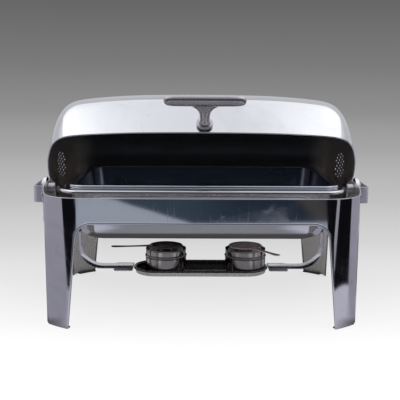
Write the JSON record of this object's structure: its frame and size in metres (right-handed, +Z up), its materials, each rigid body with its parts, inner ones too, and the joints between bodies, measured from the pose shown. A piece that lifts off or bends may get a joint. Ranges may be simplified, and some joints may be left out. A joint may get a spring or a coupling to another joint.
{
  "type": "roll-top chafing dish",
  "caption": "Free-standing rectangular food warmer: roll-back domed lid, food pan in a water pan, bowed stand, fuel cups on a hanging tray.",
  "frame": {"origin": "on the floor under the middle of the stand", "axes": "+X to the right along the long side, +Y to the back, +Z up; the lid opens from the front (-Y) towards the back"},
  "size_m": [0.702, 0.458, 0.4471],
  "materials": {
    "stand_steel": "polished",
    "lid_steel": "polished",
    "cast_chrome": "polished",
    "pan_steel": "polished",
    "carrier_steel": "polished",
    "cup_steel": "polished",
    "fitting_steel": "satin",
    "foot_pad": "matte"
  },
  "bodies": {
    "stand": {"skirt_front": "stand_steel", "skirt_rear": "stand_steel", "end_panel_left": "stand_steel", "end_panel_right": "stand_steel", "leg_front_left": "stand_steel", "leg_front_right": "stand_steel", "leg_rear_left": "stand_steel", "leg_rear_right": "stand_steel", "foot_front_left": "foot_pad", "foot_front_right": "foot_pad", "foot_rear_left": "foot_pad", "foot_rear_right": "foot_pad", "side_handle_left": "cast_chrome", "side_handle_right": "cast_chrome", "side_handle_rivet_left_front": "stand_steel", "side_handle_rivet_left_rear": "stand_steel", "side_handle_rivet_right_front": "stand_steel", "side_handle_rivet_right_rear": "stand_steel", "hinge_cap_left": "cast_chrome", "hinge_cap_right": "cast_chrome", "hinge_pin_left": "fitting_steel", "hinge_pin_right": "fitting_steel", "hinge_washer_left": "fitting_steel", "hinge_washer_right": "fitting_steel", "hanger_left": "fitting_steel", "hanger_right": "fitting_steel", "hanger_rivet_left_front": "stand_steel", "hanger_rivet_left_rear": "stand_steel", "hanger_rivet_right_front": "stand_steel", "hanger_rivet_right_rear": "stand_steel", "support_strap_left": "carrier_steel", "support_strap_right": "carrier_steel", "pan_rest_left": "fitting_steel", "pan_rest_right": "fitting_steel", "tray_splice_left": "carrier_steel", "tray_splice_right": "carrier_steel", "fuel_tray": "carrier_steel", "water_pan": "pan_steel"},
    "lid": {"lid_shell": "lid_steel", "hinge_plate_left": "fitting_steel", "hinge_plate_right": "fitting_steel", "hinge_nut_left": "fitting_steel", "hinge_nut_right": "fitting_steel", "lid_handle": "cast_chrome", "handle_ring": "cast_chrome", "handle_screw": "fitting_steel"},
    "food_pan": {"food_pan": "pan_steel"},
    "fuel_cup_left": {"fuel_cup_left": "cup_steel", "fuel_collar_left": "cup_steel", "snuffer_pin_left": "fitting_steel"},
    "fuel_cup_right": {"fuel_cup_right": "cup_steel", "fuel_collar_right": "cup_steel", "snuffer_pin_right": "fitting_steel"},
    "snuffer_left": {"snuffer_cover_left": "cup_steel"},
    "snuffer_right": {"snuffer_cover_right": "cup_steel"}
  },
  "joints": [
    {"name": "lid_roll", "type": "hinge", "parent": "stand", "child": "lid", "pos_m": [0, 0, 0.241], "axis": [-1, 0, 0], "range_deg": [-40, 24]},
    {"name": "food_pan_lift", "type": "slide", "parent": "stand", "child": "food_pan", "axis": [0, 0, 1], "range_m": [0, 0.05]},
    {"name": "fuel_cup_left_lift", "type": "slide", "parent": "stand", "child": "fuel_cup_left", "axis": [0, 0, 1], "range_m": [0, 0.03]},
    {"name": "fuel_cup_right_lift", "type": "slide", "parent": "stand", "child": "fuel_cup_right", "axis": [0, 0, 1], "range_m": [0, 0.03]},
    {"name": "snuffer_left_swing", "type": "hinge", "parent": "fuel_cup_left", "child": "snuffer_left", "pos_m": [-0.1085, -0.00573, 0.116], "axis": [0, 0, 1], "range_deg": [-100, 100]},
    {"name": "snuffer_right_swing", "type": "hinge", "parent": "fuel_cup_right", "child": "snuffer_right", "pos_m": [0.11449, -0.02799, 0.116], "axis": [0, 0, 1], "range_deg": [-100, 100]}
  ]
}
